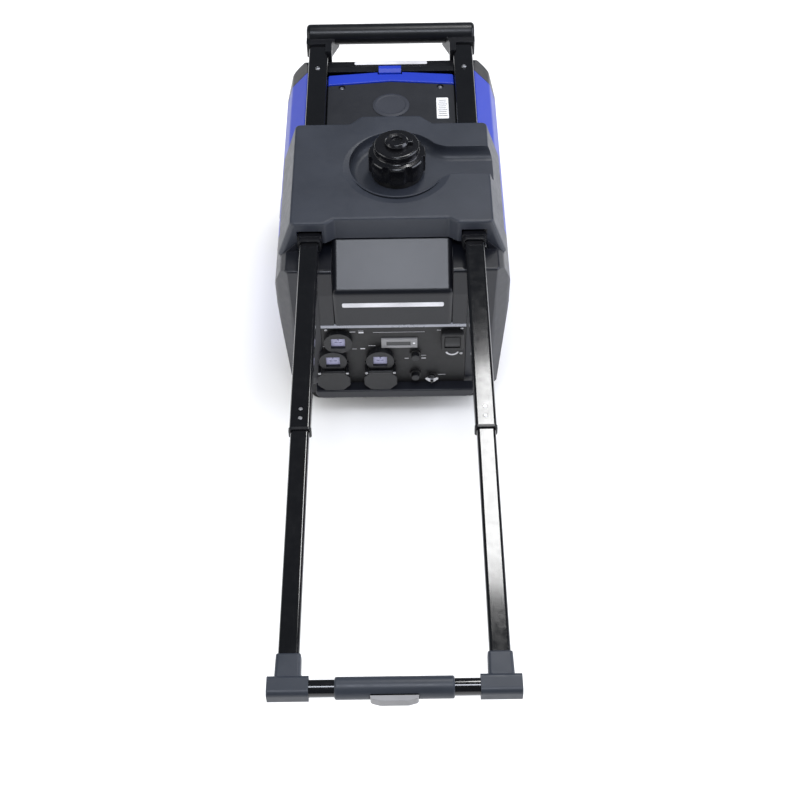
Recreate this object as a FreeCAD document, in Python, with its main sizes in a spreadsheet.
import FreeCAD, Part
import Sketcher
import os
import re

# Closed-frame inverter generator with a two-stage telescopic trolley handle, in millimetres.
# The ground is z = 0, +Z is up, and the control panel at the front faces -Y. The handle is
# drawn right out, so the model is centred on its own length. Left is -X, right is +X.

doc = FreeCAD.newDocument("InverterGenerator")

# Driving dimensions. Heights are above the ground, and y grows from front to rear.
DIMENSIONS = {
    # casing
    "wall": 3,
    "seam": 1,
    "casing_front": 84,
    "casing_rear": 691,
    "casing_bottom": 58,
    "casing_top": 405,
    "casing_half": 219,
    "foot_half": 203,
    "shoulder_half": 205,
    "shoulder_height": 368,
    "belly_low": 262,
    "belly_high": 322,
    "corner_half": 186,
    "tail_half": 203,
    "ledge_height": 380,
    "ledge_rear": 142,
    "quarter_rear": 235,
    "rear_cover_front": 645,
    "cowl_half": 137,
    "lid_half": 128,
    "lid_front": 434,
    "lid_rear": 610,
    "trim_rear": 642,
    "plug_place": 532,
    "plug_radius": 37,
    # telescopic handle
    "tube_place": 150,
    "tube_height": 402,
    "tube_wall": 1.5,
    "rail_width": 40,
    "rail_depth": 26,
    "middle_width": 35,
    "middle_depth": 21,
    "inner_width": 31,
    "inner_depth": 17,
    "tube_round": 5,
    "rail_front": 141,
    "rail_rear": 735,
    "collar_front": 131,
    "middle_front": -301,
    "inner_front": -728,
    "tube_overlap": 60,
    "grab_place": 759,
    "grab_height": 416,
    "grab_radius": 21,
    "grab_half": 176,
    "bar_place": -756,
    "bar_radius": 12.5,
    "grip_radius": 16,
    "grip_half": 84,
    "end_half": 178.5,
    # tank cover and fuel system
    "cover_top": 443,
    "cover_bottom": 364,
    "cover_front": 148,
    "cover_nose": 160,
    "nose_half": 104,
    "cheek_half": 121,
    "cover_rear": 430,
    "cover_top_half": 184,
    "cover_low_half": 211,
    "cap_side": 11,
    "cap_place": 314,
    "bowl_radius": 90,
    "bowl_floor": 418,
    "bowl_flare": 45,
    "drain_front": 279,
    "drain_rear": 358,
    "tank_half": 126,
    "tank_front": 172,
    "tank_rear": 424,
    "tank_bottom": 296,
    "tank_top": 410,
    "neck_radius": 36,
    "neck_bore": 30,
    "neck_top": 440,
    "cap_radius": 54,
    "cap_waist": 468,
    "cap_disc_radius": 42,
    "cap_top": 488,
    "knob_radius": 22,
    "knob_top": 498,
    # front
    "panel_front": 82,
    "panel_bottom": 79,
    "panel_top": 243,
    "trim_top": 252,
    "fascia_front": 75,
    "fascia_top": 336,
    "cowl_top": 392,
    "cowl_rear": 168,
    "bulge_half": 114,
    "sill_front": 60,
    "sill_bottom": 57,
    "sill_half": 155,
    "socket_radius": 27,
    "socket_square": 27,
    "socket_face": 68,
    "hinge_height": 131,
    "hinge_front": 64,
    "low_socket_height": 156,
    "left_socket_place": -118,
    "right_socket_place": -27,
    "high_socket_place": -106,
    "high_socket_height": 206,
    "breaker_place": 41,
    "upper_breaker_height": 165,
    "lower_breaker_height": 107,
    "breaker_radius": 11,
    "earth_place": 73,
    "earth_height": 97,
    "switch_place": 111.5,
    "switch_bottom": 185,
    "switch_top": 229,
    # running gear
    "tray_bottom": 32,
    "wheel_radius": 76,
    "wheel_width": 36,
    "wheel_place": 190,
    "axle_place": 596,
    "axle_radius": 8,
    "arch_radius": 86,
    "foot_place": 130,
    "foot_side": 150,
    "foot_radius": 22,
    # engine and alternator, on one shaft along Y
    "shaft_height": 190,
    "shaft_radius": 12,
    "block_front": 478,
    "block_rear": 600,
    "block_half": 90,
    "bore_place": 532,
    "rotor_radius": 92,
    "pulley_place": 390,
    "pulley_radius": 75,
    "recoil_radius": 102,
    "clearance": 0.05,
}

sheet = doc.addObject("Spreadsheet::Sheet", "Dimensions")
for row, (alias, size) in enumerate(DIMENSIONS.items(), start=1):
    sheet.set(f"A{row}", alias)
    sheet.set(f"B{row}", str(size))
    sheet.setAlias(f"B{row}", alias)
doc.recompute()

RIGHT_WAY = {
    "X": FreeCAD.Rotation(FreeCAD.Vector(0, 1, 0), 90),
    "Y": FreeCAD.Rotation(FreeCAD.Vector(1, 0, 0), -90),
    "Z": FreeCAD.Rotation(),
}
SUBPARTS = []


def bound(text):
    """Return an expression written in dimension names in the form that the document reads."""
    def cell(word):
        return "Dimensions." + word.group() if word.group() in DIMENSIONS else word.group()
    return re.sub(r"[a-z][a-z_]*", cell, str(text))


def number(text):
    """Return the present value of an expression written in dimension names."""
    return float(sheet.evalExpression(bound(text)))


def bind(thing, **sizes):
    for name, text in sizes.items():
        thing.setExpression(name, bound(text))


def place(thing, spot, axis="Z"):
    """Put a thing's own origin at a spot, with its own Z axis along the given axis."""
    thing.Placement = FreeCAD.Placement(FreeCAD.Vector(), RIGHT_WAY[axis])
    for letter, text in zip("xyz", spot):
        thing.setExpression(".Placement.Base." + letter, bound(text))


def subpart(thing):
    """Keep a finished thing as a sub-part of its own, under its own name."""
    SUBPARTS.append(thing)
    return thing


def box(name, low, size):
    thing = doc.addObject("Part::Box", name)
    bind(thing, Length=size[0], Width=size[1], Height=size[2])
    place(thing, low)
    return thing


def cylinder(name, base, radius, length, axis="Z"):
    thing = doc.addObject("Part::Cylinder", name)
    bind(thing, Radius=radius, Height=length)
    place(thing, base, axis)
    return thing


def cone(name, base, radius, end_radius, length, axis="Z"):
    thing = doc.addObject("Part::Cone", name)
    bind(thing, Radius1=radius, Radius2=end_radius, Height=length)
    place(thing, base, axis)
    return thing


def fuse(name, *parts):
    thing = doc.addObject("Part::MultiFuse", name)
    thing.Shapes = list(parts)
    thing.Refine = True
    return thing


def common(name, *parts):
    thing = doc.addObject("Part::MultiCommon", name)
    thing.Shapes = list(parts)
    thing.Refine = True
    return thing


def cut(name, base, *tools):
    thing = doc.addObject("Part::Cut", name)
    thing.Base = base
    thing.Tool = tools[0] if len(tools) == 1 else fuse(name + "_tools", *tools)
    thing.Refine = True
    return thing


def group(name, *parts):
    """Hold separate identical solids as one sub-part."""
    thing = doc.addObject("Part::Compound", name)
    thing.Links = list(parts)
    return thing


def mirrored(name, source):
    """Return a thing's mirror image in the plane x = 0."""
    thing = doc.addObject("Part::Mirroring", name)
    thing.Source = source
    thing.Normal = (1, 0, 0)
    return thing


def rounded(name, base, radius, wanted):
    """Fillet the edges of a thing for which wanted(middle, edge) is true."""
    doc.recompute()
    size = number(radius)
    thing = doc.addObject("Part::Fillet", name)
    thing.Base = base
    picked = []
    for index, edge in enumerate(base.Shape.Edges, start=1):
        middle = edge.valueAt((edge.FirstParameter + edge.LastParameter) / 2)
        if wanted(middle, edge):
            picked.append((index, size, size))
    thing.Edges = picked
    return thing


def sketch_on(body, plane, outline, start):
    """Draw a closed straight-sided outline on one of a body's own origin planes."""
    sketch = body.newObject("Sketcher::SketchObject", body.Name + "_outline")
    support = next(item for item in body.Origin.OriginFeatures if item.Role == plane + "_Plane")
    sketch.AttachmentSupport = (support, [""])
    sketch.MapMode = "FlatFace"
    sketch.setExpression(".AttachmentOffset.Base.z", bound(start))
    corners = [FreeCAD.Vector(number(corner[0]), number(corner[1]), 0) for corner in outline]
    for index, corner in enumerate(corners):
        sketch.addGeometry(Part.LineSegment(corner, corners[(index + 1) % len(corners)]), False)
    for index in range(len(corners)):
        after = (index + 1) % len(corners)
        sketch.addConstraint(Sketcher.Constraint("Coincident", index, 2, after, 1))
    for index, corner in enumerate(corners):
        for kind, text, size in (
            ("DistanceX", outline[index][0], corner.x),
            ("DistanceY", outline[index][1], corner.y),
        ):
            which = sketch.addConstraint(Sketcher.Constraint(kind, -1, 1, index, 1, size))
            sketch.setExpression(f"Constraints[{which}]", bound(text))
    return sketch


def round_corners(body, outline, edge_of):
    """Fillet a body at each outline corner that states a radius, one feature per radius."""
    for radius in sorted({str(corner[2]) for corner in outline if len(corner) > 2}):
        doc.recompute()
        names = []
        for corner in outline:
            if len(corner) > 2 and str(corner[2]) == radius:
                names.append(edge_of(body, number(corner[0]), number(corner[1])))
        base = body.Tip
        fillet = body.newObject("PartDesign::Fillet", body.Name + "_round")
        fillet.Base = (base, names)
        bind(fillet, Radius=radius)
        body.Tip = fillet


def prism(name, plane, outline, start, length):
    """Pad an outline (u, v[, corner radius]) from start, towards the positive third axis."""
    body = doc.addObject("PartDesign::Body", name)
    away = plane == "XZ"
    sketch = sketch_on(body, plane, outline, f"-({start})" if away else start)
    pad = body.newObject("PartDesign::Pad", name + "_pad")
    pad.Profile = sketch
    pad.Reversed = away
    bind(pad, Length=length)
    sketch.Visibility = False
    flat = {"XY": (0, 1), "XZ": (0, 2), "YZ": (1, 2)}[plane]

    def straight_edge(body, across, up):
        for index, edge in enumerate(body.Shape.Edges, start=1):
            ends = [vertex.Point for vertex in edge.Vertexes]
            near = [abs(end[flat[0]] - across) + abs(end[flat[1]] - up) < 0.01 for end in ends]
            if len(ends) == 2 and all(near):
                return f"Edge{index}"
        raise ValueError(f"{name}: no edge at {across}, {up}")

    round_corners(body, outline, straight_edge)
    return body


def turned(name, outline, spot, axis="Z"):
    """Revolve an outline (radius, height[, corner radius]) about an axis through a spot."""
    body = doc.addObject("PartDesign::Body", name)
    sketch = sketch_on(body, "XZ", outline, 0)
    turn = body.newObject("PartDesign::Revolution", name + "_turn")
    turn.Profile = sketch
    turn.ReferenceAxis = (sketch, ["V_Axis"])
    turn.Angle = 360
    sketch.Visibility = False

    def ring_edge(body, across, up):
        for index, edge in enumerate(body.Shape.Edges, start=1):
            ring = getattr(edge.Curve, "Radius", -1)
            if abs(ring - across) < 0.01 and abs(edge.Curve.Center.z - up) < 0.01:
                return f"Edge{index}"
        raise ValueError(f"{name}: no ring at {across}, {up}")

    round_corners(body, outline, ring_edge)
    place(body, spot, axis)
    return body


def both_sides(half):
    """Reflect the right half of an outline, so that it runs round both sides of x = 0."""
    return list(half) + [(f"-({corner[0]})",) + tuple(corner[1:]) for corner in reversed(half)]


# ---------------------------------------------------------------- casing shell

def casing_solid(name, inset):
    """Return the casing's full shape, as the space shared by its three outlines, less an inset."""
    section = both_sides([
        (f"foot_half-{inset}", f"casing_bottom-8*{inset}"),
        (f"casing_half-{inset}", "belly_low"),
        (f"casing_half-{inset}", "belly_high", 50),
        (f"shoulder_half-{inset}", f"shoulder_height-{inset}/2", 16),
        (f"tube_place+rail_width/2+1-{inset}/2", f"casing_top-{inset}", 6),
    ])
    plan = both_sides([
        (f"corner_half-{inset}/2", f"casing_front+{inset}", 24),
        (f"casing_half+3-{inset}", f"casing_front+40+{inset}/2", 40),
        (f"casing_half+3-{inset}", f"casing_rear-44-{inset}/2", 40),
        (f"tail_half-{inset}/2", f"casing_rear-{inset}", 18),
    ])
    side = [
        (f"casing_front+9+{inset}", f"casing_bottom-8*{inset}"),
        (f"casing_front+{inset}", "casing_bottom+34", 20),
        (f"casing_front+6+{inset}", "casing_top+5"),
        ("casing_rear-60", "casing_top+5"),
        (f"casing_rear-{inset}", f"casing_top-6-{inset}", 10),
        (f"casing_rear-{inset}", "casing_bottom+62", 40),
        (f"casing_rear-12-{inset}", f"casing_bottom-8*{inset}"),
    ]
    solid = common(
        name + "_full",
        prism(name + "_section", "XZ", section, "casing_front-10", "casing_rear-casing_front+20"),
        prism(name + "_plan", "XY", plan, "casing_bottom-40", "casing_top-casing_bottom+60"),
        prism(name + "_side", "YZ", side, "-casing_half-10", "2*casing_half+20"),
    )
    ledge = box(
        name + "_ledge",
        ("-casing_half-5", "casing_front-5", f"ledge_height-{inset}"),
        ("2*casing_half+10", f"ledge_rear-casing_front+5+{inset}", 50),
    )
    return cut(name, solid, ledge)


def on_ledge_rim(middle, edge):
    high = abs(middle.z - number("ledge_height")) < 0.01
    return high and middle.y < number("ledge_rear") - 1


casing_outer = rounded("casing_outer_soft", casing_solid("casing_outer", 0), 5, on_ledge_rim)
casing_shell = cut("casing_shell", casing_outer, casing_solid("casing_inner", "wall"))

under_cover = box(
    "under_cover",
    ("-casing_half-5", "cover_front-3", "cover_bottom-1"),
    ("2*casing_half+10", "cover_rear-cover_front+5", 60),
)
wheel_arches = cylinder(
    "wheel_arches", ("-casing_half-5", "axle_place", "wheel_radius"), "arch_radius",
    "2*casing_half+10", "X",
)


def louvres(name, low, size, count, pitch, along):
    """Return a row of box-shaped slots that steps along Y or Z."""
    slots = []
    for index in range(count):
        spot = list(low)
        spot["XYZ".index(along)] += f"+{index}*{pitch}"
        slots.append(box(f"{name}_{index}", spot, size))
    return fuse(name, *slots)


def side_panel():
    region = box(
        "side_region",
        ("tube_place+rail_width/2+1", "quarter_rear+seam", "casing_bottom-5"),
        (80, "rear_cover_front-quarter_rear-2*seam", 400),
    )
    low_vents = louvres(
        "side_vents", ("casing_half-40", "quarter_rear+40", "casing_bottom+70"), (60, 70, 6),
        6, 14, "Z",
    )
    return cut("side_panel_right", common("side_skin", casing_shell, region),
               under_cover, wheel_arches, low_vents)


def front_quarter():
    region = box(
        "quarter_region",
        ("cowl_half+seam", "casing_front-5", "casing_bottom-5"),
        (120, "quarter_rear-casing_front+5", 400),
    )
    vents = louvres(
        "quarter_vents", ("casing_half-40", "casing_front+46", "casing_bottom+70"), (60, 6, 104),
        6, 14, "Y",
    )
    rail_way = box(
        "quarter_rail_way", ("cowl_half-5", "ledge_rear-5", "ledge_height+3"),
        ("tube_place+25-cowl_half+5", 20, 60),
    )
    return cut("front_quarter_right", common("quarter_skin", casing_shell, region),
               under_cover, vents, rail_way)


def left_side_panel(right_panel):
    """The left panel also lets the recoil starter's rope out, below its pull handle's pocket."""
    rope_hole = cylinder(
        "rope_hole", ("-casing_half-5", "pulley_place", "shaft_height+pulley_radius-3"), 6, 40, "X",
    )
    pocket = box(
        "pull_pocket", ("-casing_half-5", "pulley_place-38", "shaft_height+pulley_radius-21"),
        (25, 76, 36),
    )
    pocket_wall = box(
        "pocket_wall", ("-casing_half+1", "pulley_place-41", "shaft_height+pulley_radius-24"),
        (22, 82, 42),
    )
    panel = fuse("left_panel_full", mirrored("left_panel_skin", right_panel), pocket_wall)
    return cut("side_panel_left", panel, pocket, rope_hole)


def rail_channels():
    """The straight way of both rails through the rear cover."""
    right = box(
        "channel_right",
        ("tube_place-rail_width/2-0.5", "casing_rear-70", "tube_height-rail_depth/2-0.5"),
        ("rail_width+1", 90, 60),
    )
    return fuse("rail_channels", right, mirrored("channel_left", right))


def rear_cover():
    region = box(
        "rear_region", ("-casing_half-5", "rear_cover_front", "casing_bottom-5"),
        ("2*casing_half+10", 80, 400),
    )
    slots = louvres(
        "rear_vents", ("-110", "casing_rear-20", "casing_bottom+50"), (220, 40, 7), 9, 15, "Z",
    )
    outlet = cylinder("outlet_hole", (-70, "casing_rear-20", 320), 24, 40, "Y")
    return cut("rear_cover", common("rear_skin", casing_shell, region),
               rail_channels(), wheel_arches, slots, outlet)


right_panel = side_panel()
subpart(right_panel)
subpart(left_side_panel(right_panel))
right_quarter = subpart(front_quarter())
subpart(mirrored("front_quarter_left", right_quarter))
subpart(rear_cover())


def top_frame():
    """The plate that carries the rails, with one opening for the tank and one over the engine."""
    plate = box(
        "top_plate",
        ("-tube_place-rail_width/2+1", "rail_front+11", "tube_height-rail_depth/2-6"),
        ("2*tube_place+rail_width-2", "rear_cover_front-rail_front-14", 6),
    )
    tank_hole = box(
        "tank_hole", ("-tank_half-2", "rail_front-10", 350),
        ("2*tank_half+4", "tank_rear-rail_front+14", 60),
    )
    engine_hole = box("engine_hole", (-112, 466, 350), (224, 120, 60))
    return cut("top_frame", plate, tank_hole, engine_hole)


subpart(top_frame())


def service_lid():
    plate = prism("lid_plate", "XY", [
        ("-lid_half", "lid_front"),
        ("lid_half", "lid_front"),
        ("lid_half", "lid_rear-12", 4),
        (0, "lid_rear"),
        ("-lid_half", "lid_rear-12", 4),
    ], "casing_top-13", 13)
    hollow = box(
        "lid_hollow", ("-lid_half+wall", "lid_front+wall", "casing_top-20"),
        ("2*lid_half-2*wall", "lid_rear-lid_front-12-2*wall", "20-wall"),
    )
    plug_hole = cylinder("plug_hole", (0, "plug_place", "casing_top-20"), "plug_radius-5", 40)
    wells = []
    bosses = []
    for side in (-1, 1):
        spot = (100 * side, "lid_rear-17", "casing_top-5")
        wells.append(cylinder(f"screw_well_{side + 1}", spot, 7, 10))
        bosses.append(cylinder(
            f"screw_boss_{side + 1}", (100 * side, "lid_rear-17", "casing_top-13"), 12, 10,
        ))
    clipped = [common(f"lid_boss_{index}", plate, boss) for index, boss in enumerate(bosses)]
    shell = fuse("lid_shell", cut("lid_pan", plate, hollow), *clipped)
    soft = rounded("lid_soft", shell, 1.5, lambda middle, edge: middle.z > number("casing_top") - 0.01)
    return cut("service_lid", soft, plug_hole, *wells)


subpart(service_lid())
subpart(turned("lid_plug", [
    (0, 2),
    ("plug_radius-9", 2, 3),
    ("plug_radius-6", 3, 2),
    ("plug_radius", 1.5, 1),
    ("plug_radius", 0),
    ("plug_radius-5", 0),
    ("plug_radius-5", -6),
    (0, -6),
], (0, "plug_place", "casing_top")))


def pan_screw(name, spot, axis="Z"):
    """A pan-head screw whose head's underside is at the spot."""
    return turned(name + "_head", [
        (0, 0),
        (5, 0),
        (5, 1.6, 1),
        (3.6, 3, 1),
        (1.6, 3),
        (1.6, 1.6),
        (0, 1.6),
    ], spot, axis)


subpart(group(
    "casing_screws",
    pan_screw("lid_screw_left", (-100, "lid_rear-17", "casing_top-5")),
    pan_screw("lid_screw_right", (100, "lid_rear-17", "casing_top-5")),
    pan_screw("rail_screw_left", ("-tube_place", 643, "tube_height+rail_depth/2")),
    pan_screw("rail_screw_right", ("tube_place", 643, "tube_height+rail_depth/2")),
))


def rear_trim():
    """The bowed strip across the top, between the lid and the rear cover."""
    strip = prism("trim_strip", "XY", [
        ("-lid_half", "lid_rear-11"),
        (0, "lid_rear+1"),
        ("lid_half", "lid_rear-11"),
        ("lid_half", "trim_rear-12", 5),
        (0, "trim_rear"),
        ("-lid_half", "trim_rear-12", 5),
    ], "casing_top-12", 14)
    soft = rounded("trim_soft", strip, 2, lambda middle, edge: middle.z > number("casing_top") + 1.9)
    notch = box("latch_notch", (-27, "trim_rear-10.5", "casing_top-20"), (50, 20, 40))
    return cut("rear_trim", soft, notch)


def lid_latch():
    """The spring tab that is pushed back to free the lid; it turns on a pin below the fascia."""
    tab = prism("latch_tab", "YZ", [
        ("trim_rear-7", "casing_top-9"),
        ("trim_rear-7", "casing_top+3", 2),
        ("trim_rear-1", "casing_top+9", 4),
        ("trim_rear+11", "casing_top+9", 3),
        ("trim_rear+11", "casing_top+4"),
        ("trim_rear+1", "casing_top+4", 2),
        ("trim_rear+1", "casing_top-9"),
    ], -25, 46)
    return cut("lid_latch", tab, cylinder("latch_bore", (-40, "trim_rear-3", "casing_top-5"), 1.5, 80, "X"))


subpart(rear_trim())
subpart(lid_latch())

# ---------------------------------------------------------------- telescopic handle


def tube(name, side, width, depth, front, rear):
    """A straight square-section tube with rounded corners, along Y."""
    middle = f"{side}*tube_place"

    def outline(inset, corner):
        left = f"{middle}-{width}/2+{inset}"
        right = f"{middle}+{width}/2-{inset}"
        low = f"tube_height-{depth}/2+{inset}"
        high = f"tube_height+{depth}/2-{inset}"
        return [(left, low, corner), (right, low, corner), (right, high, corner), (left, high, corner)]

    length = f"{rear}-({front})"
    outer = prism(name + "_outer", "XZ", outline(0, "tube_round"), front, length)
    bore = prism(name + "_bore", "XZ", outline("tube_wall", "tube_round-tube_wall"), f"{front}-5",
                 length + "+10")
    return cut(name, outer, bore)


def sleeve(name, side, width, depth, opening_width, opening_depth, front, length):
    """A short ring round a tube, with an opening of its own."""
    outer = prism(name + "_outer", "XZ", [
        (f"{side}*tube_place-({width})/2", f"tube_height-({depth})/2", 5),
        (f"{side}*tube_place+({width})/2", f"tube_height-({depth})/2", 5),
        (f"{side}*tube_place+({width})/2", f"tube_height+({depth})/2", 5),
        (f"{side}*tube_place-({width})/2", f"tube_height+({depth})/2", 5),
    ], front, length)
    opening = prism(name + "_opening", "XZ", [
        (f"{side}*tube_place-({opening_width})/2", f"tube_height-({opening_depth})/2", "tube_round"),
        (f"{side}*tube_place+({opening_width})/2", f"tube_height-({opening_depth})/2", "tube_round"),
        (f"{side}*tube_place+({opening_width})/2", f"tube_height+({opening_depth})/2", "tube_round"),
        (f"{side}*tube_place-({opening_width})/2", f"tube_height+({opening_depth})/2", "tube_round"),
    ], f"{front}-2", f"{length}+4")
    return cut(name, outer, opening)


rails = []
rail_collars = []
middle_tubes = []
middle_collars = []
inner_tubes = []
for side, word in ((-1, "left"), (1, "right")):
    rails.append(tube(f"outer_rail_{word}", side, "rail_width", "rail_depth", "rail_front", "rail_rear"))
    big = sleeve(f"big_collar_{word}", side, 44, 32, "rail_width+0.4", "rail_depth+0.4",
                 "rail_front", 10)
    small = sleeve(f"small_collar_{word}", side, 41, 28, "middle_width+0.8", "middle_depth+1.4",
                   "collar_front", "rail_front-collar_front")
    rail_collars.append(fuse(f"rail_collar_{word}", big, small))
    middle_tubes.append(tube(f"middle_tube_{word}", side, "middle_width", "middle_depth",
                             "middle_front+5", "collar_front+tube_overlap"))
    middle_collars.append(sleeve(f"middle_collar_{word}", side, "middle_width+2", "middle_depth+2",
                                 "inner_width+0.8", "inner_depth+0.8", "middle_front", 5))
    inner_tubes.append(tube(f"inner_tube_{word}", side, "inner_width", "inner_depth",
                            "inner_front", "middle_front+tube_overlap"))

subpart(group("outer_rails", *rails))
subpart(group("rail_collars", *rail_collars))
subpart(group("middle_tubes", *middle_tubes))
subpart(group("middle_collars", *middle_collars))
subpart(group("inner_tubes", *inner_tubes))

rivets = []
for side in (-1, 1):
    for index, ahead in enumerate((24, 43)):
        rivets.append(turned(
            f"rivet_{side + 1}_{index}", [(0, 0), (3.6, 0), (2.8, 0.5), (0, 0.5)],
            (f"{side}*tube_place", f"middle_front+{ahead}", "tube_height+middle_depth/2"),
        ))
subpart(group("tube_rivets", *rivets))


def rear_handle():
    """The fixed grab handle moulded round the rear ends of both rails."""
    bar = cylinder("grab_bar", ("-grab_half", "grab_place", "grab_height"), "grab_radius",
                   "2*grab_half", "X")
    soft_bar = rounded("grab_bar_soft", bar, 8,
                       lambda middle, edge: abs(middle.x) > number("grab_half") - 0.01)
    arm = prism("grab_arm", "XY", [
        ("tube_place-rail_width/2-7", "casing_rear+5"),
        ("tube_place-rail_width/2+6", "casing_rear+5"),
        ("tube_place-rail_width/2+6", "rail_rear-13"),
        ("grab_half", "rail_rear-13", 4),
        ("grab_half", "grab_place", 2),
        ("tube_place-rail_width/2-21", "grab_place"),
        ("tube_place-rail_width/2-7", "grab_place-grab_radius-14", 12),
    ], "tube_height-rail_depth/2-3", "rail_depth+7")
    whole = fuse("grab_whole", soft_bar, arm, mirrored("grab_arm_left", arm))
    tube_way = prism("grab_socket", "XZ", [
        ("tube_place-rail_width/2", "tube_height-rail_depth/2", "tube_round"),
        ("tube_place+rail_width/2", "tube_height-rail_depth/2", "tube_round"),
        ("tube_place+rail_width/2", "tube_height+rail_depth/2", "tube_round"),
        ("tube_place-rail_width/2", "tube_height+rail_depth/2", "tube_round"),
    ], "casing_rear-20", "rail_rear-casing_rear+20")
    return cut("rear_handle", whole, tube_way, mirrored("grab_socket_left", tube_way))


subpart(rear_handle())


def handle_end():
    """The right end piece: a socket for the inner tube on a cross block for the bar."""
    block = prism("end_block", "YZ", [
        ("bar_place-grip_radius", "tube_height-14", 8),
        ("bar_place+grip_radius", "tube_height-14", 8),
        ("bar_place+grip_radius", "tube_height+14", 8),
        ("bar_place-grip_radius", "tube_height+14", 8),
    ], "tube_place-30", "end_half-tube_place+30")
    socket = prism("end_socket", "XY", [
        ("tube_place-inner_width/2-3.5", "bar_place+grip_radius-10"),
        ("tube_place+inner_width/2+3.5", "bar_place+grip_radius-10"),
        ("tube_place+inner_width/2+2.5", "inner_front+24", 3),
        ("tube_place-inner_width/2-2.5", "inner_front+24", 3),
    ], "tube_height-inner_depth/2-3", "inner_depth+6")
    socket_soft = rounded("end_socket_soft", socket, 5, lambda middle, edge: (
        abs(middle.x - number("tube_place")) > number("inner_width") / 2 + 1
        and abs(edge.tangentAt(edge.FirstParameter).y) > 0.9
    ))
    tube_way = box("end_tube_way", (
        "tube_place-inner_width/2", "inner_front", "tube_height-inner_depth/2",
    ), ("inner_width", 60, "inner_depth"))
    bar_way = cylinder("end_bar_way", ("tube_place-40", "bar_place", "tube_height"), "bar_radius",
                       "60", "X")
    return cut("handle_end_right", fuse("end_whole", block, socket_soft), tube_way, bar_way)


right_end = handle_end()
subpart(group("handle_ends", right_end, mirrored("handle_end_left", right_end)))
subpart(cylinder("handle_bar", ("-tube_place-20", "bar_place", "tube_height"), "bar_radius",
                 "2*tube_place+40", "X"))


def handle_grip():
    sleeve_body = turned("grip_sleeve", [
        ("bar_radius", "-grip_half"),
        ("grip_radius", "-grip_half", 3),
        ("grip_radius", "grip_half", 3),
        ("bar_radius", "grip_half"),
    ], (0, "bar_place", "tube_height"), "X")
    window = box("button_window", (-34.5, "bar_place-grip_radius-2", "tube_height-8"),
                 (69, "grip_radius-bar_radius+4", 16))
    return cut("handle_grip", sleeve_body, window)


subpart(handle_grip())
subpart(prism("release_button", "XY", [
    (-34, "bar_place-bar_radius-2.8"),
    (-34, "bar_place-grip_radius-4", 5),
    (-20, "bar_place-grip_radius-8", 14),
    (20, "bar_place-grip_radius-8", 14),
    (34, "bar_place-grip_radius-4", 5),
    (34, "bar_place-bar_radius-2.8"),
], "tube_height-7.5", 15))

# ---------------------------------------------------------------- tank cover and fuel system


def cover_solid(name, inset):
    """Return the cover's outer block, or its inside when given an inset."""
    lean = "(cover_low_half-cover_top_half)/(cover_top-cover_bottom)"
    plan = both_sides([
        ("nose_half", f"cover_nose+{inset}", 8),
        ("cheek_half", f"cover_front+{inset}", 8),
        (f"cover_low_half+2-{inset}", f"cover_front+{inset}"),
        (f"cover_low_half+2-{inset}", f"cover_rear-{inset}"),
        (f"80-{inset}/2", f"cover_rear-{inset}", 10),
        (f"57-{inset}/2", f"cover_rear+23-{inset}", 12),
    ])
    section = both_sides([
        (f"cover_low_half+{inset}*(4*{lean}-1)", f"cover_bottom-4*{inset}"),
        (f"cover_top_half+{inset}*({lean}-1)", f"cover_top-{inset}"),
    ])
    return common(
        name,
        prism(name + "_plan", "XY", plan, "cover_bottom-20", "cover_top-cover_bottom+40"),
        prism(name + "_section", "XZ", section, "cover_front-10", "cover_rear-cover_front+60"),
    )


def bowl_tool(name, grow, foot_radius):
    """The round filler bowl and the drain channel that flares out of it to the right."""
    height = f"cover_top+1-bowl_floor+{grow}"
    bowl = cylinder(name + "_bowl", ("cap_side", "cap_place", f"bowl_floor-{grow}"),
                    f"bowl_radius+{grow}", height)
    drain = box(name + "_drain", ("cap_side", f"drain_front-{grow}", f"bowl_floor-{grow}"),
                ("cover_low_half+20-cap_side", f"drain_rear-drain_front+2*{grow}", height))

    def at_mouth(middle, edge):
        upright = abs(edge.tangentAt(edge.FirstParameter).z) > 0.9
        return upright and number("cap_side") < middle.x < number("cover_low_half")

    def at_foot(middle, edge):
        low = abs(middle.z - number(f"bowl_floor-{grow}")) < 0.01
        return low and middle.x < number("cover_low_half+15")

    flared = rounded(name + "_flared", fuse(name + "_full", bowl, drain), f"bowl_flare-{grow}",
                     at_mouth)
    return rounded(name, flared, foot_radius, at_foot)


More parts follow.
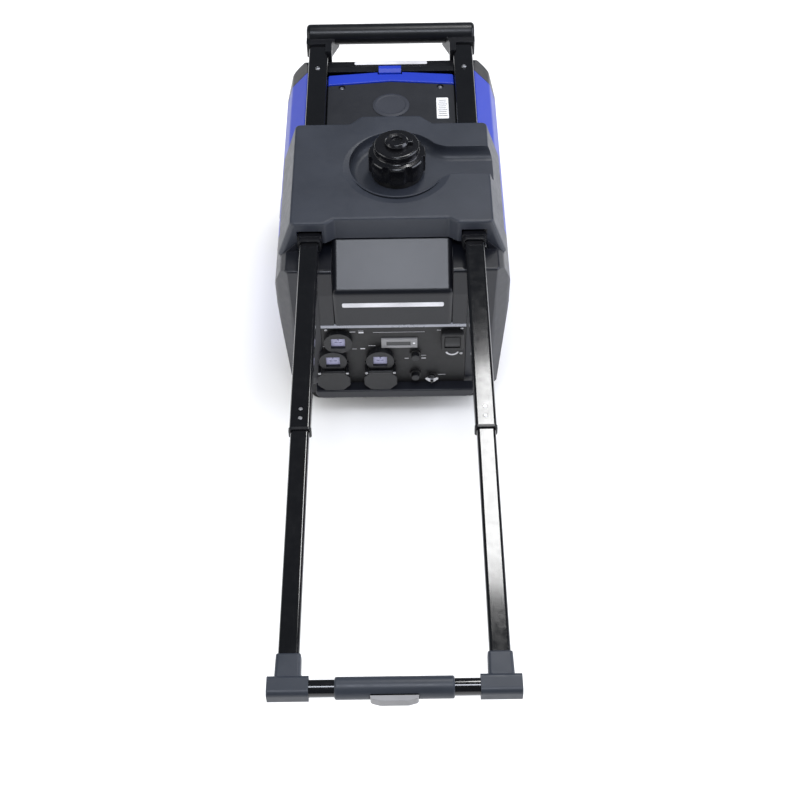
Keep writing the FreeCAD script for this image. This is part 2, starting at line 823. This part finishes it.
def tank_cover():
    """The dark top cover over the tank: side skirts, front notches for the rails, filler bowl."""
    outer = cover_solid("cover_outer", 0)

    def at_slanted_corner(middle, edge):
        return abs(edge.tangentAt(edge.FirstParameter).z) > 0.5 and abs(middle.x) > 190

    def at_top(middle, edge):
        return abs(middle.z - number("cover_top")) < 0.01

    cornered = rounded("cover_cornered", outer, 10, at_slanted_corner)
    soft = rounded("cover_soft", cornered, 5, at_top)
    cavity = cut("cover_cavity", cover_solid("cover_inner", "wall"), bowl_tool("bowl_outer", "wall", 14))
    rim = cone("bowl_rim", ("cap_side", "cap_place-12", "cover_top-4"),
               "bowl_radius-8", "bowl_radius+17", 5)
    filler_hole = cylinder("filler_hole", ("cap_side", "cap_place", "bowl_floor-20"), 44, 40)
    notch = box("rail_notch", ("tube_place-23", "cover_front-10", "cover_bottom-20"),
                (46, 40, "424-cover_bottom+20"))
    rear_notch = box("rail_rear_notch", ("tube_place-21", "cover_rear-10", "cover_bottom-20"),
                     (42, 40, "tube_height+rail_depth/2+1-cover_bottom+20"))
    front_gap = box("front_gap", ("-tube_place-23", "cover_front-10", "cover_bottom-20"),
                    ("2*tube_place+46", 40, "395-cover_bottom+20"))
    rear_gap = box("rear_gap", ("-tube_place-21", "cover_rear-10", "cover_bottom-20"),
                   ("2*tube_place+42", 50, "casing_top+1-cover_bottom+20"))
    return cut("tank_cover", soft, cavity, bowl_tool("bowl_inner", 0, 15), rim, filler_hole,
               notch, mirrored("rail_notch_left", notch), rear_notch,
               mirrored("rail_rear_notch_left", rear_notch), front_gap, rear_gap)


subpart(tank_cover())


def fuel_tank():
    outer = box("tank_outer", ("-tank_half", "tank_front", "tank_bottom"),
                ("2*tank_half", "tank_rear-tank_front", "tank_top-tank_bottom"))
    soft = rounded("tank_soft", outer, 18, lambda middle, edge: True)
    inside = box("tank_inside", ("-tank_half+5", "tank_front+5", "tank_bottom+2"),
                 ("2*tank_half-10", "tank_rear-tank_front-10", "tank_top-tank_bottom-4"))
    inside_soft = rounded("tank_inside_soft", inside, 16, lambda middle, edge: True)
    mouth = cylinder("tank_mouth", ("cap_side", "cap_place", "tank_top-10"), "neck_bore", 20)
    return cut("fuel_tank", soft, inside_soft, mouth)


subpart(fuel_tank())
subpart(turned("filler_neck", [
    ("neck_bore", "tank_top"),
    ("neck_radius", "tank_top"),
    ("neck_radius", "bowl_floor+0.5"),
    ("neck_radius+12", "bowl_floor+0.5"),
    ("neck_radius+12", "bowl_floor+12", 3),
    ("neck_radius", "bowl_floor+12"),
    ("neck_radius", "neck_top", 1),
    ("neck_bore", "neck_top"),
], ("cap_side", "cap_place", 0)))
subpart(turned("cap_insert", [
    (0, "neck_top-12"),
    ("neck_bore-1", "neck_top-12", 2),
    ("neck_bore-1", "neck_top"),
    ("neck_radius+3", "neck_top"),
    ("neck_radius+3", "neck_top+6"),
    (0, "neck_top+6"),
], ("cap_side", "cap_place", 0)))


def fuel_cap():
    """The gripping shell of the cap: a lobed skirt under a plain disc, hollow over the insert."""
    shell = turned("cap_shell", [
        (0, "cap_top"),
        ("cap_disc_radius", "cap_top", 4),
        ("cap_disc_radius", "cap_waist+4", 3),
        ("cap_radius", "cap_waist", 5),
        ("cap_radius", "bowl_floor+13.5", 2),
        ("neck_radius+4", "bowl_floor+13.5"),
        ("neck_radius+4", "neck_top+7"),
        (0, "neck_top+7"),
    ], ("cap_side", "cap_place", 0))
    scallops = []
    for index in range(8):
        angle = 22.5 + 45 * index
        spot = (
            f"cap_side+(cap_radius+7)*cos({angle})",
            f"cap_place+(cap_radius+7)*sin({angle})",
            "cap_waist-60",
        )
        scallops.append(cylinder(f"cap_scallop_{index}", spot, 12, 66))
    return cut("fuel_cap", shell, *scallops)


def vent_knob():
    knob = turned("knob_body", [
        (0, "cap_top+4"),
        (9, "cap_top+4", 1),
        (11, "knob_top-1", 1),
        ("knob_radius-4", "knob_top", 2),
        ("knob_radius", "cap_top+6", 2),
        ("knob_radius", "cap_top+0.3"),
        (0, "cap_top+0.3"),
    ], ("cap_side", "cap_place", 0))
    lever = box("knob_lever", ("cap_side", "cap_place-4", "cap_top+0.5"), (30, 8, 6))
    soft = rounded("lever_soft", lever, 2, lambda middle, edge: middle.z > number("cap_top") + 6.4)
    dimple = cylinder("knob_dimple", ("cap_side", "cap_place", "cap_top+4"), 9, 30)
    return cut("vent_knob", fuse("knob_whole", knob, soft), dimple)


subpart(fuel_cap())
subpart(vent_knob())

# ---------------------------------------------------------------- front


def cowl_solid(name, inset, soft):
    """The sloping middle over the fascia and the two flat-topped wings beside it."""
    bulge = prism(name + "_bulge", "YZ", [
        (f"fascia_front+{inset}", f"trim_top-4*{inset}"),
        (f"fascia_front+{inset}", "fascia_top", 16),
        (f"cowl_rear-6+{inset}", f"cowl_top-{inset}", 8),
        (f"cowl_rear+4*{inset}", f"cowl_top-{inset}"),
        (f"cowl_rear+4*{inset}", f"trim_top-4*{inset}"),
    ], f"-bulge_half+6*{inset}", f"2*bulge_half-12*{inset}")
    wing = prism(name + "_wing", "YZ", [
        (f"fascia_front+1+{inset}", f"trim_top-4*{inset}"),
        (f"fascia_front+3+{inset}", f"ledge_height-52-{inset}", 10),
        (f"fascia_front+13+{inset}", f"ledge_height-{inset}", 8),
        (f"cowl_rear+4*{inset}", f"ledge_height-{inset}"),
        (f"cowl_rear+4*{inset}", f"trim_top-4*{inset}"),
    ], f"bulge_half-3+{inset}", f"cowl_half-bulge_half+3-2*{inset}")
    if soft:
        bulge = rounded(name + "_bulge_soft", bulge, 12, lambda middle, edge: (
            abs(abs(middle.x) - number("bulge_half")) < 0.01
            and middle.z > number("fascia_top") + 8
            and middle.z < number("cowl_top") - 3
            and middle.y < number("cowl_rear") - 2
            and edge.Curve.TypeId == "Part::GeomLine"
        ))
    return fuse(name, bulge, wing, mirrored(name + "_left_wing", wing))


subpart(cut(
    "front_cowl",
    cowl_solid("cowl_outer", 0, True),
    cowl_solid("cowl_inner", "wall", False),
    box("cowl_passage", ("-cowl_half+wall", "fascia_front+3+wall", "trim_top-5"),
        ("2*cowl_half-2*wall", "cowl_rear-fascia_front+5", "fascia_top-16-trim_top+5")),
))
subpart(prism("panel_trim", "YZ", [
    ("fascia_front+1", "panel_top+0.3"),
    ("fascia_front+1", "trim_top-0.3", 3),
    ("panel_front+6", "trim_top-0.3"),
    ("panel_front+6", "panel_top+0.3"),
], "-cowl_half", "2*cowl_half"))


def socket_housing(name, across, up, face):
    """A round outlet: a flange on the panel, a can behind it and a square well for the insert."""
    flange = cylinder(name + "_flange", (across, face, up), "socket_radius", f"panel_front-({face})", "Y")
    can = cylinder(name + "_can", (across, "panel_front", up), "socket_radius-10", 36, "Y")
    well = box(name + "_well", (f"{across}-socket_square/2", f"{face}-1", f"{up}-socket_square/2"),
               ("socket_square", 13, "socket_square"))
    solid = cut(name + "_solid", fuse(name + "_full", flange, can), well)
    return solid


def socket_insert(name, across, up, face):
    block = box(name + "_block", (
        f"{across}-socket_square/2+0.2", f"{face}+6", f"{up}-socket_square/2+0.2",
    ), ("socket_square-0.4", 6, "socket_square-0.4"))
    slots = []
    for index, (aside, above, wide, tall) in enumerate(((-7, -4, 6, 2), (1, -4, 6, 2), (-1, 3, 2, 6))):
        slots.append(box(f"{name}_slot_{index}", (f"{across}+{aside}", f"{face}+5", f"{up}+{above}"),
                         (wide, 5, tall)))
    return cut(name, block, *slots)


def hinge_lugs(name, across):
    """Two ears with holes for the cover's pin, below a covered outlet."""
    lugs = []
    for side in (-1, 1):
        lugs.append(box(f"{name}_lug_{side + 1}", (
            f"{across}+{side}*27-2.5", "hinge_front-3", "hinge_height-4",
        ), (5, "panel_front-hinge_front+3", 8)))
    lugs.append(box(name + "_lug_plate", (f"{across}-29.5", "panel_front-3", "hinge_height-4"),
                    (59, 3, 15)))
    pin_way = cylinder(name + "_pin_way", (f"{across}-31", "hinge_front", "hinge_height"),
                       "2+clearance", 62, "X")
    return lugs, pin_way


SOCKETS = {
    "a": ("high_socket_place", "high_socket_height", "panel_front-12"),
    "b": ("left_socket_place", "low_socket_height", "socket_face"),
    "c": ("right_socket_place", "low_socket_height", "socket_face"),
}
housings = {}
inserts = []
for letter, (across, up, face) in SOCKETS.items():
    housing = socket_housing(f"socket_{letter}", across, up, face)
    if letter != "a":
        lugs, pin_way = hinge_lugs(f"socket_{letter}", across)
        housing = cut(f"socket_{letter}_hinged", fuse(f"socket_{letter}_eared", housing, *lugs), pin_way)
    housings[letter] = housing
    inserts.append(socket_insert(f"insert_{letter}", across, up, face))
subpart(group("sockets", *housings.values()))
subpart(group("socket_inserts", *inserts))


def socket_cover(name, across):
    """A flap that hangs from its hinge below the outlet; closed, it swings up over it."""
    plate = prism(name + "_plate", "XZ", [
        (f"{across}-20", "hinge_height-1"),
        (f"{across}-32", "hinge_height-14", 4),
        (f"{across}-32", "hinge_height-36", 8),
        (f"{across}-18", "hinge_height-51", 8),
        (f"{across}+18", "hinge_height-51", 8),
        (f"{across}+32", "hinge_height-36", 8),
        (f"{across}+32", "hinge_height-14", 4),
        (f"{across}+20", "hinge_height-1"),
    ], "hinge_front-2.5", 3.5)
    soft = rounded(name + "_soft", plate, 1.2, lambda middle, edge: (
        abs(middle.y - number("hinge_front-2.5")) < 0.01 and middle.z < number("hinge_height") - 2
    ))
    barrel = cylinder(name + "_barrel", (f"{across}-23", "hinge_front", "hinge_height"), 3.4, 46, "X")
    pin = cylinder(name + "_pin", (f"{across}-29.5", "hinge_front", "hinge_height"), 2, 59, "X")
    return fuse(name, soft, barrel, pin)


subpart(socket_cover("socket_cover_b", "left_socket_place"))
subpart(socket_cover("socket_cover_c", "right_socket_place"))


def switch_bezel():
    base = box("switch_block", ("switch_place-21.5", "panel_front-13", "switch_bottom"),
               (43, 14, "switch_top-switch_bottom"))
    soft = rounded("switch_soft", base, 3, lambda middle, edge: middle.y < number("panel_front"))
    well = box("switch_well", ("switch_place-15", "panel_front-20", "switch_bottom+6"),
               (30, 15, "switch_top-switch_bottom-12"))
    return cut("switch_bezel", soft, well)


def control_panel():
    """The panel plate with its outlet and breaker holes, switch bezel and pressed-in earth stud."""
    plate = box("panel_plate", ("-cowl_half", "panel_front", "panel_bottom"),
                ("2*cowl_half", "wall", "panel_top-panel_bottom"))
    holes = []
    for letter, (across, up, face) in SOCKETS.items():
        holes.append(cylinder(f"panel_hole_{letter}", (across, "panel_front-5", up),
                              "socket_radius-10", 20, "Y"))
    collars = []
    for word in ("upper", "lower"):
        collars.append(cylinder(
            f"breaker_collar_{word}", ("breaker_place", "panel_front-6", f"{word}_breaker_height"),
            "breaker_radius", 7, "Y",
        ))
        holes.append(cylinder(
            f"breaker_hole_{word}", ("breaker_place", "panel_front-10", f"{word}_breaker_height"),
            "breaker_radius-3", 20, "Y",
        ))
    stud = cylinder("earth_rod", ("earth_place", "panel_front-17", "earth_height"), 3, 26, "Y")
    washer = cylinder("earth_washer", ("earth_place", "panel_front-3", "earth_height"), 8, 4, "Y")
    drilled = cut("panel_drilled", fuse("panel_blank", plate, *collars), *holes)
    return fuse("control_panel", drilled, switch_bezel(), stud, washer)


subpart(control_panel())


def display_module():
    bezel = box("display_bezel", (-24, "panel_front-4", 183), (69, 4, 25))
    soft = rounded("display_soft", bezel, 1.5, lambda middle, edge: middle.y < number("panel_front-3.9"))
    window = box("display_well", (-14, "panel_front-5", 190), (46, 3, 11))
    lamp = cylinder("display_lamp_well", (38.5, "panel_front-5", 195.5), 3, 3, "Y")
    return cut("display_module", soft, window, lamp)


subpart(display_module())
subpart(prism("engine_switch", "YZ", [
    ("panel_front-8", "switch_bottom+8"),
    ("panel_front-12", "switch_bottom+8", 2),
    ("panel_front-15.5", "(switch_bottom+switch_top)/2", 20),
    ("panel_front-12", "switch_top-8", 2),
    ("panel_front-8", "switch_top-8"),
], "switch_place-14", 28))
for word in ("upper", "lower"):
    subpart(turned(f"breaker_{word}", [
        (0, -15),
        ("breaker_radius-3-clearance", -15, 1.5),
        ("breaker_radius-3-clearance", 8),
        (0, 8),
    ], ("breaker_place", "panel_front", f"{word}_breaker_height"), "Y"))


def earth_nut():
    """The wing nut of the earth terminal."""
    hub = cylinder("earth_hub", ("earth_place", "panel_front-12", "earth_height"), 6, 8, "Y")
    wings = prism("earth_wings", "XZ", [
        ("earth_place-14", "earth_height+5", 3),
        ("earth_place-5", "earth_height-4"),
        ("earth_place+5", "earth_height-4"),
        ("earth_place+14", "earth_height+5", 3),
        ("earth_place+10", "earth_height+9", 2),
        ("earth_place", "earth_height+3"),
        ("earth_place-10", "earth_height+9", 2),
    ], "panel_front-13", 4)
    stud_way = cylinder("earth_stud_way", ("earth_place", "panel_front-20", "earth_height"),
                        "3+clearance", 30, "Y")
    return cut("earth_nut", fuse("earth_nut_full", hub, wings), stud_way)


subpart(earth_nut())


def front_sill():
    outer = prism("sill_block", "XZ", [
        ("-sill_half", "sill_bottom", 16),
        ("sill_half", "sill_bottom", 16),
        ("sill_half", "panel_bottom-0.3", 4),
        ("-sill_half", "panel_bottom-0.3", 4),
    ], "sill_front", "casing_front-sill_front-seam")
    soft = rounded("sill_soft", outer, 3, lambda middle, edge: middle.y < number("sill_front") + 0.01)
    hollow = box("sill_hollow", ("-sill_half+6", "sill_front+wall", "sill_bottom+wall"),
                 ("2*sill_half-12", 60, "panel_bottom-sill_bottom-2*wall-0.3"))
    return cut("front_sill", soft, hollow)


subpart(front_sill())

# ---------------------------------------------------------------- base and running gear


def base_tray():
    """The floor pan inside the casing's lower edge, with the wheel wells cut away."""
    outline = both_sides([
        ("foot_half-22", "casing_front+14", 16),
        ("foot_half-4", "casing_front+44", 16),
        ("foot_half-4", "casing_rear-52", 16),
        ("foot_half-24", "casing_rear-20", 16),
    ])
    pan = prism("tray_outer", "XY", outline, "tray_bottom", "casing_bottom+14-tray_bottom")
    inner = both_sides([
        ("foot_half-22-wall", "casing_front+14+wall", 13),
        ("foot_half-4-wall", "casing_front+44+wall", 13),
        ("foot_half-4-wall", "casing_rear-52-wall", 13),
        ("foot_half-24-wall", "casing_rear-20-wall", 13),
    ])
    hollow = prism("tray_inner", "XY", inner, "tray_bottom+wall", "casing_bottom")
    wells = []
    for side in (-1, 1):
        wells.append(cylinder(
            f"wheel_well_{side + 1}",
            (f"{side}*(wheel_place+10)-wheel_width/2-15", "axle_place", "wheel_radius"),
            "arch_radius", "wheel_width+30", "X",
        ))
    axle_way = cylinder("axle_way", ("-casing_half", "axle_place", "wheel_radius"), "axle_radius",
                        "2*casing_half", "X")
    brackets = []
    for index, across in enumerate((-158, 152)):
        brackets.append(box(f"axle_bracket_{index}", (across, "axle_place-18", "tray_bottom+1"),
                            (6, 36, "wheel_radius-tray_bottom+17")))
    return cut("base_tray", fuse("tray_full", cut("tray_pan", pan, hollow, *wells), *brackets), axle_way)


subpart(base_tray())
feet = []
for side in (-1, 1):
    feet.append(turned(f"foot_{side + 1}", [
        (0, 0),
        ("foot_radius", 0, 3),
        ("foot_radius-4", "tray_bottom"),
        (0, "tray_bottom"),
    ], (f"{side}*foot_side", "foot_place", 0)))
subpart(group("front_feet", *feet))
subpart(cylinder("axle", (-214, "axle_place", "wheel_radius"), "axle_radius", 428, "X"))


def wheel(name, side):
    """A solid rubber wheel with a recessed hub; its bore runs on the axle."""
    rim = turned(name + "_rim", [
        ("axle_radius+clearance", "-wheel_width/2+3"),
        (20, "-wheel_width/2+3"),
        (26, "-wheel_width/2+9", 3),
        ("wheel_radius-22", "-wheel_width/2+9", 3),
        ("wheel_radius-18", "-wheel_width/2"),
        ("wheel_radius-4", "-wheel_width/2", 3),
        ("wheel_radius", "-wheel_width/2+6", 6),
        ("wheel_radius", "wheel_width/2-6", 6),
        ("wheel_radius-4", "wheel_width/2", 3),
        ("wheel_radius-18", "wheel_width/2"),
        ("wheel_radius-22", "wheel_width/2-9", 3),
        (26, "wheel_width/2-9", 3),
        (20, "wheel_width/2-3"),
        ("axle_radius+clearance", "wheel_width/2-3"),
    ], (f"{side}*wheel_place", "axle_place", "wheel_radius"), "X")
    holes = []
    for index in range(6):
        angle = 60 * index
        holes.append(cylinder(
            f"{name}_hole_{index}",
            (f"{side}*wheel_place-wheel_width", f"axle_place+38*cos({angle})",
             f"wheel_radius+38*sin({angle})"),
            8, "2*wheel_width", "X",
        ))
    return cut(name, rim, *holes)


subpart(wheel("wheel_left", -1))
subpart(wheel("wheel_right", 1))

# ---------------------------------------------------------------- engine, alternator, electrics


def engine_block():
    """Crankcase, finned cylinder and head, with the shaft's bore and the crank's chamber."""
    case = box("crankcase", ("-block_half", "block_front", "shaft_height-95"),
               ("2*block_half", "block_rear-block_front", 160))
    case_soft = rounded("crankcase_soft", case, 14, lambda middle, edge: (
        abs(edge.tangentAt(edge.FirstParameter).y) > 0.9
    ))
    barrel = cylinder("barrel", (0, "bore_place", "shaft_height+60"), 44, 110)
    fins = []
    for index in range(8):
        fins.append(box(f"fin_{index}", (-64, "block_front+4", f"shaft_height+74+{index}*11"),
                        (128, "block_rear-block_front-12", 3)))
    head = box("head", (-56, "block_front+10", "shaft_height+158"), (112, "block_rear-block_front-24", 20))
    chamber = box("crank_chamber", (-52, "block_front+18", "shaft_height-52"), (104, 88, 118))
    bore = cylinder("cylinder_bore", (0, "bore_place", "shaft_height+40"), 35, 122)
    shaft_way = cylinder("block_shaft_way", (0, "block_front-10", "shaft_height"),
                         "shaft_radius+clearance", 200, "Y")
    plug_way = cylinder("plug_way", (0, "bore_place", "shaft_height+150"), 7, 60)
    whole = fuse("engine_full", case_soft, barrel, head, *fins)
    mount = box("block_mount", (-70, "block_front+6", "tray_bottom+wall"),
                (140, 100, "shaft_height-92-tray_bottom-wall"))
    return cut("engine_block", fuse("engine_mounted", whole, mount), chamber, bore, shaft_way, plug_way)


subpart(engine_block())
subpart(fuse(
    "crankshaft",
    cylinder("shaft_front", (0, 404, "shaft_height"), "shaft_radius", 108, "Y"),
    cylinder("shaft_rear", (0, 552, "shaft_height"), "shaft_radius", 56, "Y"),
    cylinder("web_front", (0, 508, "shaft_height"), 40, 14, "Y"),
    cylinder("web_rear", (0, 542, "shaft_height"), 40, 14, "Y"),
    cylinder("crank_pin", (0, 520, "shaft_height+26"), 11, 24, "Y"),
))
subpart(turned("spark_plug", [
    (0, "shaft_height+162"),
    (7, "shaft_height+162"),
    (7, "shaft_height+178"),
    (10.4, "shaft_height+178"),
    (10.4, "shaft_height+188", 1),
    (6, "shaft_height+190"),
    (6, "shaft_height+200", 2),
    (0, "shaft_height+202"),
], (0, "bore_place", 0)))


def alternator_rotor():
    """The flywheel drum with its magnets' ring and the cooling fan's blades."""
    drum = turned("rotor_drum", [
        ("shaft_radius", 0),
        (34, 0),
        ("rotor_radius", 4),
        ("rotor_radius", 42, 2),
        ("rotor_radius-9", 42),
        ("rotor_radius-9", 10),
        (20, 10),
        (20, 16),
        ("shaft_radius", 16),
    ], (0, 428, "shaft_height"), "Y")
    blades = []
    for index in range(12):
        angle = 30 * index
        blade = box(f"fan_blade_{index}", (
            f"50*cos({angle})", 414, f"shaft_height+50*sin({angle})",
        ), (34, 19, 3))
        blade.Placement.Rotation = FreeCAD.Rotation(FreeCAD.Vector(0, 1, 0), -angle)
        blades.append(blade)
    return fuse("alternator_rotor", drum, *blades)


subpart(alternator_rotor())
subpart(turned("alternator_stator", [
    (24, 440),
    (48, 440),
    (48, 438),
    ("rotor_radius-12", 438, 2),
    ("rotor_radius-12", 466, 2),
    (48, 466),
    (48, "block_front"),
    (24, "block_front"),
], (0, 0, "shaft_height"), "Y"))


def recoil_housing():
    """The starter's cup in front of the fan, with a spindle for the pulley and a rope slot."""
    cup = turned("recoil_cup", [
        (0, 372),
        (60, 372, 8),
        ("recoil_radius", 384, 8),
        ("recoil_radius", 424),
        ("recoil_radius-wall", 424),
        ("recoil_radius-wall", 386, 4),
        (60, 375, 4),
        (8, 375),
        (8, 402),
        (0, 402),
    ], (0, 0, "shaft_height"), "Y")
    rope_slot = box("rope_slot", ("-recoil_radius-5", "pulley_place-5", "shaft_height+pulley_radius-10"),
                    ("recoil_radius-20", 10, 16))
    air_slots = []
    for index in range(3):
        air_slots.append(box(f"air_slot_{index}", (f"-60+{index}*42", 365, "shaft_height-70"),
                             (30, 16, 36)))
    post = box("recoil_post", (-40, 412, "tray_bottom+wall"),
               (80, 10, "shaft_height-recoil_radius-tray_bottom-wall+8"))
    return cut("recoil_housing", fuse("recoil_full", cup, post), rope_slot, *air_slots)


subpart(recoil_housing())
subpart(turned("recoil_pulley", [
    ("8+clearance", "pulley_place-6"),
    ("pulley_radius", "pulley_place-6", 1),
    ("pulley_radius", "pulley_place-4"),
    ("pulley_radius-8", "pulley_place-2"),
    ("pulley_radius-8", "pulley_place+2"),
    ("pulley_radius", "pulley_place+4"),
    ("pulley_radius", "pulley_place+6", 1),
    ("8+clearance", "pulley_place+6"),
], (0, 0, "shaft_height"), "Y"))
subpart(cylinder("recoil_rope", ("-casing_half+4", "pulley_place", "shaft_height+pulley_radius-3"),
                 2, "casing_half-10", "X"))


def recoil_handle():
    """The pull grip that rests in the pocket of the left side panel."""
    grip = cylinder("pull_grip", ("-casing_half+1", "pulley_place-31", "shaft_height+pulley_radius-3"),
                    9, 62, "Y")
    return rounded("recoil_handle", grip, 4, lambda middle, edge: True)


subpart(recoil_handle())


def muffler():
    body = box("muffler_body", (-105, 612, 262), (200, 50, 108))
    soft = rounded("muffler_soft", body, 16, lambda middle, edge: (
        abs(edge.tangentAt(edge.FirstParameter).x) > 0.9
    ))
    inlet = cylinder("muffler_inlet", (30, "block_rear-14", "shaft_height+168"), 8, 40, "Y")
    outlet = cylinder("muffler_outlet", (-70, 650, 320), 17, "casing_rear-648", "Y")
    outlet_way = cylinder("muffler_outlet_way", (-70, 658, 320), 14.5, 60, "Y")
    return cut("muffler", fuse("muffler_full", soft, inlet, outlet), outlet_way)


subpart(muffler())


def carburettor():
    throat = cylinder("carb_throat", (64, "bore_place", "shaft_height+120"), 16, 40, "X")
    bowl = cylinder("carb_bowl", (86, "bore_place", "shaft_height+92"), 17, 30)
    throat_way = cylinder("carb_throat_way", (60, "bore_place", "shaft_height+120"), 10, 60, "X")
    return cut("carburettor", fuse("carb_full", throat, bowl), throat_way)


def air_cleaner():
    case = box("cleaner_case", (104, "bore_place-52", "shaft_height+84"), (54, 104, 76))
    return rounded("air_cleaner", case, 8, lambda middle, edge: True)


def inverter_module():
    """The finned aluminium case of the electronics, upright behind the panel."""
    case = box("inverter_case", (-110, 140, "tray_bottom+wall"), (200, 36, 225))
    fins = []
    for index in range(12):
        fins.append(box(f"inverter_fin_{index}", (f"-104+{index}*17", 176, "tray_bottom+wall+8"),
                        (3, 16, 205)))
    return fuse("inverter_module", case, *fins)


subpart(carburettor())
subpart(air_cleaner())
subpart(inverter_module())
subpart(rounded("battery", box("battery_case", (96, 225, "tray_bottom+wall"), (66, 150, 92)), 3,
                lambda middle, edge: True))

# ---------------------------------------------------------------- check and write

doc.recompute()
for thing in doc.Objects:
    if "Invalid" in thing.State or "Error" in thing.State:
        raise ValueError(f"{thing.Name} failed: {thing.State}")
os.makedirs("parts", exist_ok=True)
for thing in SUBPARTS:
    shape = thing.Shape
    if shape.isNull() or not shape.isValid() or not shape.Solids:
        raise ValueError(f"{thing.Label} has no valid solid")
    shape.exportStep(f"parts/{thing.Label}.step")
print(f"wrote {len(SUBPARTS)} sub-parts")
